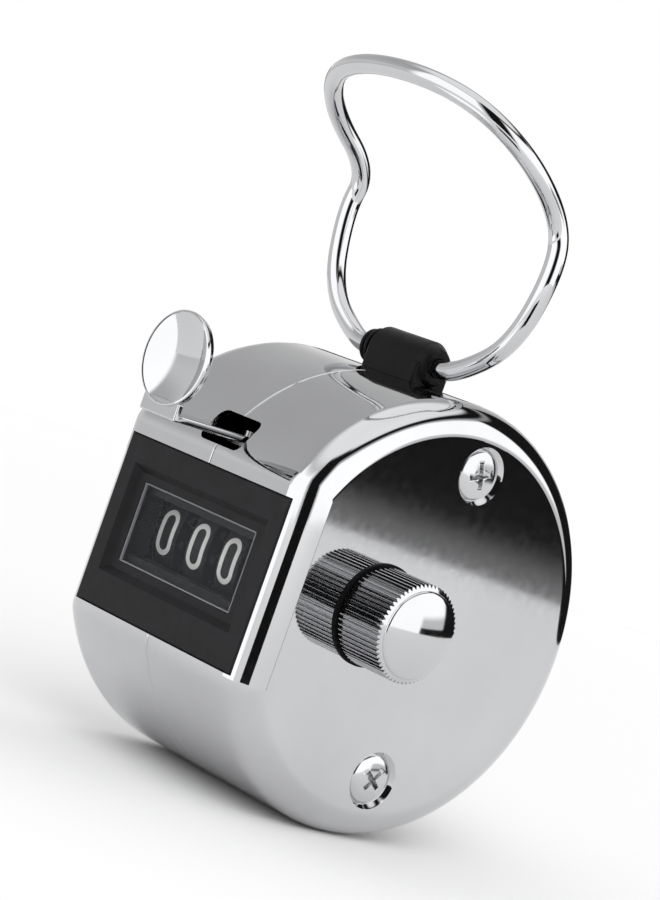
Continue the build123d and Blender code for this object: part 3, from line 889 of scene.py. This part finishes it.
@dataclass
class CoverScrews:
    """Two cross-recessed screws sunk in the right side."""

    face: float = 29.9
    y: float = SCREW_Y
    z: float = SCREW_Z
    head: float = 2.55
    cross: tuple[float, float] = (3.0, 0.6)
    recess: float = 1.0

    def screw(self, name: str, z: float, turn: float) -> Piece:
        """One screw with a domed head and a tapered cross recess.

        Args:
            name: The object's name.
            z: The screw's height.
            turn: How the recess is turned, in degrees.

        Returns:
            The finished screw.
        """
        length, width = self.cross
        profile = [(0.12, 0), (0.1, 0.9), (0.0, 1.7), (-0.12, 2.25), (-0.3, self.head), (-1.35, 1.35),
                   (-1.4, 1.0), (-6.5, 1.0), (-6.8, 0.6), (-6.8, 0)]
        screw = Bench.turned(name, profile, (self.face, self.y, z), (1, 0, 0), 64)
        for quarter in (0, 90):
            blade = Bench.block("blade", (self.face - self.recess, self.y - length / 2, z - width / 2),
                                (self.face + 0.6, self.y + length / 2, z + width / 2))
            for vertex in blade.data.vertices:
                if vertex.co.x < self.face * MM:
                    vertex.co.y = self.y * MM + (vertex.co.y - self.y * MM) * 0.45
                    vertex.co.z = z * MM + (vertex.co.z - z * MM) * 0.6
            spin = Matrix.Rotation(math.radians(turn + quarter), 4, "X")
            pivot = Matrix.Translation(Bench.metres((self.face, self.y, z)))
            blade.data.transform(pivot @ spin @ pivot.inverted())
            Bench.cut(screw, blade)
        Bench.round_edges(screw, 0.07, 2, 30)
        return screw

    def build(self) -> None:
        """Build both screws as one group of solids."""
        pair = [self.screw("upper_screw", self.z, 20), self.screw("lower_screw", -self.z, 52)]
        screws = Bench.gather("cover_screws_skin", pair)
        Bench.polish(screws, 40)
        Bench.fit(screws, "casing", Finishes.SCREW, "cover_screws")


# --- thumb lever
@dataclass
class ThumbLever:
    """The plated tongue and its dished thumb pad."""

    middle: float = MIDDLE
    tongue_z: float = 11.5
    sheet: float = 0.7
    width: float = 5.6
    back: float = -12.8
    pad_y: float = -27.4
    pad_z: float = 17.2
    pad_radius: float = 4.75
    hollow: float = 10.0
    upturn: float = 1.75

    def dish(self) -> Piece:
        """The round pad, hollow towards the front, with a rolled lip."""
        ball, sheet, rim = self.hollow, self.sheet, self.pad_radius
        reach = math.asin(rim / ball)
        turns = [reach * step / 20 for step in range(20)]
        front = [(ball - ball * math.cos(turn), ball * math.sin(turn)) for turn in turns]
        lip_run = ball - ball * math.cos(reach)
        lip = [(lip_run + 0.02, rim - 0.2), (lip_run - 0.02, rim - 0.06), (lip_run - 0.15, rim),
               (lip_run - 0.45, rim), (lip_run - 0.62, rim - 0.1)]
        outer = ball + sheet
        back = [(ball - outer * math.cos(turn), outer * math.sin(turn)) for turn in reversed(turns[:-1])]
        place = (self.middle, self.pad_y, self.pad_z)
        return Bench.turned("thumb_lever_skin", front + lip + back, place, (0, -1, 0), 128)

    def tongue(self) -> Piece:
        """The flat tongue with its end bent up, as one closed solid with rounded edges."""
        neck, foot, sheet = self.pad_y - 1.0, self.tongue_z, self.sheet
        outline = [(neck, foot), (self.back, foot), (self.back, foot + sheet), (neck + sheet, foot + sheet),
                   (neck + sheet, foot + self.upturn), (neck, foot + self.upturn)]
        corners = [Bench.metres((self.middle - self.width / 2, y, z)) for y, z in outline]
        strip = Bench.sheet("tongue", corners, [], [tuple(range(len(corners)))])
        Bench.edit_all(strip)
        bpy.ops.mesh.extrude_region_move(TRANSFORM_OT_translate={"value": (self.width * MM, 0, 0)})
        bpy.ops.mesh.select_all(action="SELECT")
        bpy.ops.mesh.normals_make_consistent(inside=False)
        bpy.ops.object.mode_set(mode="OBJECT")
        return Bench.round_edges(strip, 0.16, 3)

    def build(self) -> None:
        """Build the pad and the tongue as one stamping."""
        lever = self.dish()
        Bench.join(lever, self.tongue())
        Bench.polish(lever, 40)
        Bench.fit(lever, "lever", Finishes.LEVER, "thumb_lever")


# --- ring and holder
@dataclass
class FingerRing:
    """The bent wire loop: upright sides, a kink, and a top that leans to the front."""

    middle: float = MIDDLE
    axis_z: float = RING_AXIS
    wire: float = 1.0
    lean: float = 57.0
    kink: float = 17.2

    def route(self) -> list[Vector]:
        """The loop's corners from one end to the other, in metres."""
        tilt = math.radians(self.lean)
        sides = [(1.0, 0.0), (4.4, 0.0), (7.6, 0.0), (13.9, 4.2), (16.0, 12.4), (14.8, self.kink)]
        half = [(reach, 0.0, rise) for reach, rise in sides]
        for reach, along in ((15.2, 8.0), (11.6, 14.2), (4.6, 17.0)):
            half.append((reach, -along * math.sin(tilt), self.kink + along * math.cos(tilt)))
        left = [(self.middle - reach, y, self.axis_z + rise) for reach, y, rise in half]
        right = [(self.middle + reach, y, self.axis_z + rise) for reach, y, rise in reversed(half)]
        return [Bench.metres(point) for point in left + right]

    def build(self) -> None:
        """Bend the wire along a smooth spline and make it a mesh."""
        points = self.route()
        curve = bpy.data.curves.new("finger_ring_skin", "CURVE")
        curve.dimensions = "3D"
        spline = curve.splines.new("NURBS")
        spline.points.add(len(points) - 1)
        for target, point in zip(spline.points, points):
            target.co = (*point, 1)
        spline.order_u = 3
        spline.use_endpoint_u = True
        spline.resolution_u = 14
        curve.bevel_depth = self.wire * MM
        curve.bevel_resolution = 10
        curve.use_fill_caps = True
        piece = bpy.data.objects.new("finger_ring_skin", curve)
        bpy.context.collection.objects.link(piece)
        Bench.pick(piece)
        bpy.ops.object.convert(target="MESH")
        Bench.edit_all(piece)
        bpy.ops.mesh.remove_doubles(threshold=0.000001)
        bpy.ops.object.mode_set(mode="OBJECT")
        Bench.polish(piece, 60)
        Bench.fit(piece, "ring", Finishes.WIRE, "finger_ring")


@dataclass
class RingHolder:
    """The black moulded barrel that the ring swings in."""

    middle: float = MIDDLE
    axis_z: float = RING_AXIS
    radius: float = 2.5
    length: float = 10.4
    drum: float = DRUM
    bore: float = 1.06
    foot: tuple[float, float] = (-3.2, 4.6)

    def build(self) -> None:
        """Build the barrel, its ribbed end and its foot."""
        radius, length = self.radius, self.length
        ribs = [(0.0, 1.55), (0.15, 1.8), (0.5, 1.8), (0.62, 1.5), (0.9, 1.5), (1.02, 2.05), (1.4, 2.05),
                (1.52, 1.7), (1.8, 1.7), (1.95, 2.25), (2.3, radius)]
        profile = [(0, 0), *ribs, (length - 1.3, radius), (length - 0.35, 1.95), (length, 1.7), (length, 0)]
        start = (self.middle - length / 2, 0, self.axis_z)
        barrel = Bench.turned("ring_holder_skin", profile, start, (1, 0, 0))
        foot = Bench.block("foot", (self.middle + self.foot[0], -radius + 0.03, self.drum - 1.5),
                           (self.middle + self.foot[1], radius - 0.03, self.axis_z + 0.1))
        Bench.round_edges(foot, 0.3, 3)
        Bench.join(barrel, foot)
        left, right = -2, THICKNESS + 2
        seat = Bench.rod("seat", (left, 0, 0), (right, 0, 0), self.drum + 0.02, 256)
        bore = Bench.rod("bore", (left, 0, self.axis_z), (right, 0, self.axis_z), self.bore, 40)
        Bench.cut(barrel, seat, bore)
        Bench.round_edges(barrel, 0.08, 2, 40)
        Bench.polish(barrel, 40)
        Bench.fit(barrel, "casing", Finishes.HOLDER, "ring_holder")


# --- works left as they are
class Works:
    """The plain nodes of the frame, the inside pieces among them, which keep their shape."""

    @staticmethod
    def dress(frame: dict) -> None:
        """Give every carried-over node the finish of its slot.
        """
        finishes = {finish.value.name: finish.value for finish in Finishes}
        for entry in frame["record"]["subparts"]:
            node = frame["nodes"][entry["node"]]
            node.data.materials.clear()
            node.data.materials.append(finishes[entry["material_slot"]].material())
        LOG.info("%d plain nodes dressed", len(frame["nodes"]))


# --- studio
@dataclass(frozen=True)
class Card:
    """A patch of the surroundings that the chrome mirrors, in degrees of bearing and height."""

    left: float
    right: float
    low: float
    high: float
    level: float
    soft: float = 3.0


@dataclass
class Studio:
    """The pale floor, the soft surroundings and the camera."""

    floor_z: float = -22.6
    floor_reach: float = 470.0
    eye: Point = (223.6, -199.3, 24.4)
    facing: Point = (-0.739, 0.672, -0.043)
    roll: float = 19.5
    lens: float = 112.9
    shift: float = 0.036
    dome: tuple[tuple[float, float], ...] = ((-10, 0.75), (6, 0.84), (25, 0.62), (44, 0.56), (60, 1.25),
                                             (90, 1.2))
    left_lamp: Card = Card(-126, -66, -30, 48, 1.7, 8)
    dark_gap: Card = Card(-59, -25, -30, 56, 0.010, 5)
    cards: tuple[Card, ...] = (
        Card(-20, 37, -30, 42, 1.7, 5),         # lamp at the right
        Card(30, 86, 8, 42, 1.7, 5),            # its upper end, behind the right side
        Card(37, 112, -4.0, 1.2, 0.22, 1.0),    # far wall, dark grey at its foot
        Card(37, 112, -3.0, 1.2, 0.012, 0.8),   # and black above
        Card(66, 116, -3.0, 44, 0.012, 4),      # taller behind the right side
        Card(-59, 116, 46, 54, 0.010, 4),       # dark gap between the ceiling and the lamps
        Card(116, 158, -1.5, 7, 0.02, 2),       # dark gap at the back left
    )

    def floor(self) -> None:
        """A round pale floor under the drum."""
        Bench.clear()
        bpy.ops.mesh.primitive_circle_add(vertices=128, radius=self.floor_reach * MM, fill_type="NGON",
                                          location=Bench.metres((MIDDLE, 0, self.floor_z)))
        floor = Bench.named("floor")
        # painted shade: the floor's tone is darker round the counter and paler far off
        floor.data.materials.append(PaintedShadeFloor("floor_painted_shade", 0.88, 0.95, 0.40).material())

    def stand(self, name: str, card: Card, place: Point, distance: float, top: float) -> None:
        """Stand a curved strip on the floor that carries a card on below the horizon.

        Only the chrome sees it: the eye and the matt surfaces look through it.

        Args:
            name: The strip's name.
            card: The card that it carries on.
            place: The point that it curves round.
            distance: Its distance from that point.
            top: The height of its upper edge.
        """
        steps = 12
        step = math.radians(card.right - card.left) / steps
        turns = [math.radians(card.left) + step * i for i in range(steps + 1)]
        rim = [(place[0] + distance * math.cos(turn), place[1] + distance * math.sin(turn)) for turn in turns]
        points = [Bench.metres((x, y, z)) for z in (self.floor_z, top) for x, y in rim]
        faces = [(i, i + 1, i + steps + 2, i + steps + 1) for i in range(steps)]
        strip = Bench.sheet(name, points, [], faces)
        strip.visible_camera = False
        strip.visible_diffuse = False
        strip.visible_shadow = False
        strip.visible_transmission = False
        strip.data.materials.append(Glow(name, card.level).material())

    def camera(self) -> None:
        """The camera, a little to the front of the right side and rolled with the object."""
        data = bpy.data.cameras.new("camera")
        data.lens = self.lens
        data.shift_x = self.shift
        data.clip_start = 0.01
        camera = bpy.data.objects.new("camera", data)
        bpy.context.scene.collection.objects.link(camera)
        aim = Vector(self.facing).to_track_quat("-Z", "Y")
        camera.rotation_euler = (aim @ Quaternion((0, 0, 1), math.radians(self.roll))).to_euler()
        camera.location = Bench.metres(self.eye)
        bpy.context.scene.camera = camera

    @staticmethod
    def maths(tree: Tree, kind: str, first: Socket, second: Socket | float) -> Socket:
        """One arithmetic step on a socket, with another socket or a number."""
        node = tree.nodes.new("ShaderNodeMath")
        node.operation = kind
        tree.links.new(first, node.inputs[0])
        if isinstance(second, Socket):
            tree.links.new(second, node.inputs[1])
        else:
            node.inputs[1].default_value = second
        return node.outputs[0]

    @staticmethod
    def step(tree: Tree, value: Socket, edge: float, soft: float, falling: bool) -> Socket:
        """A smooth step at an edge, from 0 to 1 or, when falling, from 1 to 0."""
        node = Finish.node(tree, "ShaderNodeMapRange", From_Min=edge - soft / 2, From_Max=edge + soft / 2,
                           To_Min=float(falling), To_Max=float(not falling))
        node.interpolation_type = "SMOOTHSTEP"
        tree.links.new(value, node.inputs["Value"])
        return node.outputs["Result"]

    def mirror(self, tree: Tree) -> Socket:
        """The brightness that the chrome sees in each direction.

        Args:
            tree: The world's node tree.

        Returns:
            The brightness socket.
        """
        coords = tree.nodes.new("ShaderNodeTexCoord")
        split = tree.nodes.new("ShaderNodeSeparateXYZ")
        tree.links.new(coords.outputs["Generated"], split.inputs["Vector"])
        turn = 180 / math.pi
        height = self.maths(tree, "MULTIPLY", self.maths(tree, "ARCSINE", split.outputs["Z"], 0.0), turn)
        bearing = self.maths(tree, "MULTIPLY",
                             self.maths(tree, "ARCTAN2", split.outputs["Y"], split.outputs["X"]), turn)
        low, high = self.dome[0][0], self.dome[-1][0]
        spread = Finish.node(tree, "ShaderNodeMapRange", From_Min=low, From_Max=high)
        tree.links.new(height, spread.inputs["Value"])
        ramp = tree.nodes.new("ShaderNodeValToRGB")
        ramp.color_ramp.interpolation = "EASE"
        stops = ramp.color_ramp.elements
        while len(stops) < len(self.dome):
            stops.new(0.5)
        for stop, (rise, level) in zip(stops, self.dome):
            stop.position = (rise - low) / (high - low)
            stop.color = (level, level, level, 1)
        tree.links.new(spread.outputs["Result"], ramp.inputs["Fac"])
        seen = ramp.outputs["Color"]
        for card in (self.left_lamp, *self.cards, self.dark_gap):
            mask = self.step(tree, bearing, card.left, card.soft, False)
            for value, edge, falling in ((bearing, card.right, True), (height, card.low, False),
                                         (height, card.high, True)):
                mask = self.maths(tree, "MULTIPLY", mask, self.step(tree, value, edge, card.soft, falling))
            mix = tree.nodes.new("ShaderNodeMix")
            mix.data_type = "RGBA"
            mix.inputs[7].default_value = (card.level, card.level, card.level, 1)
            tree.links.new(mask, mix.inputs[0])
            tree.links.new(seen, mix.inputs[6])
            seen = mix.outputs[2]
        return seen

    def sky(self) -> None:
        """Soft surroundings: plain white to the eye and to matt surfaces, cards to the chrome."""
        world = bpy.data.worlds.new("studio")
        bpy.context.scene.world = world
        world.use_nodes = True
        tree = world.node_tree
        tree.nodes.clear()
        out = tree.nodes.new("ShaderNodeOutputWorld")
        plain = Finish.node(tree, "ShaderNodeBackground", Color=(1, 1, 1, 1), Strength=1.0)
        cards = Finish.node(tree, "ShaderNodeBackground", Strength=1.0)
        tree.links.new(self.mirror(tree), cards.inputs["Color"])
        path = tree.nodes.new("ShaderNodeLightPath")
        choice = tree.nodes.new("ShaderNodeMixShader")
        tree.links.new(path.outputs["Is Glossy Ray"], choice.inputs["Fac"])
        tree.links.new(plain.outputs[0], choice.inputs[1])
        tree.links.new(cards.outputs[0], choice.inputs[2])
        tree.links.new(choice.outputs[0], out.inputs["Surface"])

    def lamp(self) -> None:
        """One broad soft lamp at the front right, for the matt surfaces."""
        data = bpy.data.lights.new("soft_lamp", "AREA")
        data.shape = "RECTANGLE"
        data.size, data.size_y = 0.45, 0.45
        data.energy = 1.6
        lamp = bpy.data.objects.new("soft_lamp", data)
        bpy.context.scene.collection.objects.link(lamp)
        lamp.location = (0.55, -0.35, 0.45)
        aim = Bench.metres((MIDDLE, 0, 0)) - lamp.location
        lamp.rotation_euler = aim.to_track_quat("-Z", "Y").to_euler()
        lamp.visible_glossy = False

    def build(self) -> None:
        """Set the floor, the surroundings, the lamp and the camera."""
        bpy.context.scene.view_settings.view_transform = "Standard"
        self.floor()
        self.stand("dark_strip", self.dark_gap, (30, -20, 0), 88, 9)
        self.stand("bright_strip", self.left_lamp, (15, -28, 0), 55, 14)
        self.sky()
        self.lamp()
        self.camera()


def main() -> None:
    """Build the counter round its frame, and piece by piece."""
    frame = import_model()
    Studio().build()
    Works.dress(frame)
    for maker in (Casing(), Window(), Numerals(), ResetKnob(), CoverScrews(), ThumbLever(), FingerRing(),
                  RingHolder()):
        maker.build()
        LOG.info("built %s", type(maker).__name__)


if __name__ == "__main__":
    logging.basicConfig(level=logging.INFO, format="%(message)s", stream=sys.stdout)
    main()
